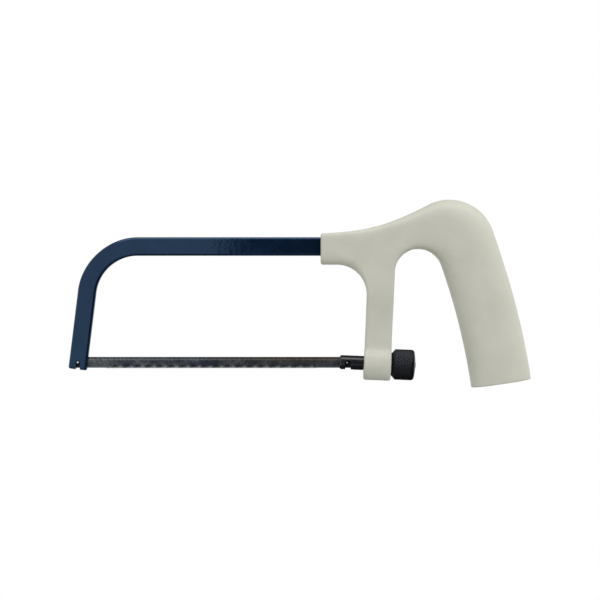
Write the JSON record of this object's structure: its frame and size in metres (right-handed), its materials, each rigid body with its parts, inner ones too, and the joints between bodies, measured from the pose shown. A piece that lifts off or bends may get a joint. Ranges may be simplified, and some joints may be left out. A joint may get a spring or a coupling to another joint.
{
  "type": "mini hacksaw",
  "caption": "Mini hacksaw with a bent bar frame, a moulded pistol-grip handle, a pinned blade with wavy-set teeth and a knurled thumb nut that draws the blade tight.",
  "frame": {"origin": "middle of the pistol grip, where a hand holds the saw", "axes": "+X along the blade to the handle, +Y across the saw, +Z from the blade to the bar"},
  "size_m": [0.2486, 0.024, 0.1014],
  "materials": {
    "blue_enamel": "glossy dark blue enamel",
    "grey_plastic": "satin moulded, warm light grey",
    "blade_steel": "dark hardened steel",
    "pin_steel": "ground pin ends",
    "black_oxide": "black oxide",
    "black_oxide_knurled": "black oxide, knurled"
  },
  "bodies": {
    "saw_frame": {"frame_bar": "blue_enamel", "handle": "grey_plastic"},
    "blade": {"blade": "blade_steel", "blade_pin_front": "pin_steel", "blade_pin_rear": "pin_steel"},
    "spindle": {"tension_spindle": "black_oxide"},
    "nut": {"thumb_nut": "black_oxide_knurled"}
  },
  "joints": [
    {"name": "nut_spin", "type": "hinge", "parent": "saw_frame", "child": "nut", "pos_m": [-0.05127, 0, -0.02704], "axis": [0.9991, 0, -0.0419], "range_deg": [0, 360]},
    {"name": "spindle_slide", "type": "slide", "parent": "saw_frame", "child": "spindle", "axis": [0.9991, 0, -0.0419], "range_m": [-0.00081, 0]},
    {"name": "blade_lift_off", "type": "slide", "parent": "saw_frame", "child": "blade", "axis": [0, 0, -1], "range_m": [0, 0.02]}
  ],
  "couplings": [
    {"joint": "spindle_slide", "follows": "nut_spin", "m_per_rad": -0.00012732}
  ]
}
